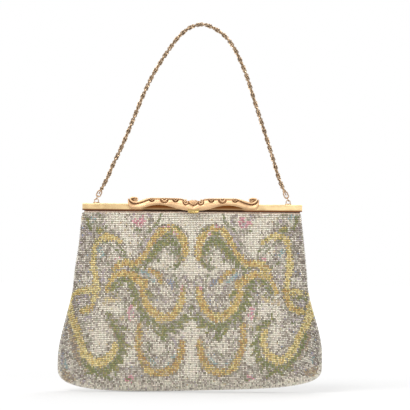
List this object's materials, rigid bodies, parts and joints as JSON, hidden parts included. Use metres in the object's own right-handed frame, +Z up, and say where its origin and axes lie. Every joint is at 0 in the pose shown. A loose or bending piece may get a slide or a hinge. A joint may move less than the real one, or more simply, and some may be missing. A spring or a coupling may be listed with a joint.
{
  "type": "handbag",
  "caption": "Small beaded evening handbag with a hinged gilt frame, a scrolled lift clasp, a satin lining and a rope-chain handle.",
  "frame": {"origin": "underside of the rope chain at its highest point, where a hook or a hand holds it", "axes": "+X to the bag's left as its user wears it and to the right as the viewer sees its front, +Z up along the hanging bag, -Y out of the front with the clasp"},
  "size_m": [0.239, 0.0298, 0.3332],
  "materials": {
    "satin_gilt": "satin gold plate on brass",
    "cast_gilt": "cast and gilded, darkened in its hollows",
    "chain_gilt": "gilded wire links, slightly worn",
    "spring_brass": "rolled spring brass",
    "beads": "glass seed beads on cloth, in cream, grey, yellow, green, pink and blue",
    "lining_satin": "ivory satin"
  },
  "bodies": {
    "handle": {"rope_chain": "chain_gilt", "jump_ring_left": "chain_gilt", "jump_ring_right": "chain_gilt", "end_link_left": "chain_gilt", "end_link_right": "chain_gilt"},
    "back_half": {"frame_back": "satin_gilt", "chain_eye_left": "satin_gilt", "chain_eye_right": "satin_gilt", "catch_spring": "spring_brass", "catch_rivet": "spring_brass", "beaded_back_upper": "beads", "lining_back_upper": "lining_satin"},
    "pouch": {"frame_rivet_left": "satin_gilt", "frame_rivet_right": "satin_gilt", "beaded_back_lower": "beads", "beaded_front_lower": "beads", "lining_back_lower": "lining_satin", "lining_front_lower": "lining_satin", "slip_pocket": "lining_satin"},
    "front_half": {"frame_front": "satin_gilt", "clasp_pin_left": "satin_gilt", "clasp_pin_right": "satin_gilt", "beaded_front_upper": "beads", "lining_front_upper": "lining_satin"},
    "clasp": {"clasp_lever": "satin_gilt", "clasp_ornament": "cast_gilt", "thumb_tab": "satin_gilt"}
  },
  "joints": [
    {"name": "handle_swing", "type": "hinge", "parent": "handle", "child": "back_half", "pos_m": [-0.0078, 0, -0.1579], "axis": [1, 0, 0], "range_deg": [-90, 90]},
    {"name": "back_open", "type": "hinge", "parent": "back_half", "child": "pouch", "pos_m": [-0.0078, -0.0022, -0.228], "axis": [1, 0, 0], "range_deg": [0, 30]},
    {"name": "front_open", "type": "hinge", "parent": "pouch", "child": "front_half", "pos_m": [-0.0078, -0.0022, -0.228], "axis": [1, 0, 0], "range_deg": [0, 30]},
    {"name": "clasp_lift", "type": "hinge", "parent": "front_half", "child": "clasp", "pos_m": [-0.0078, -0.004, -0.15975], "axis": [-1, 0, 0], "range_deg": [0, 80]}
  ],
  "couplings": [
    {"joint": "front_open", "follows": "back_open", "ratio": 1}
  ]
}
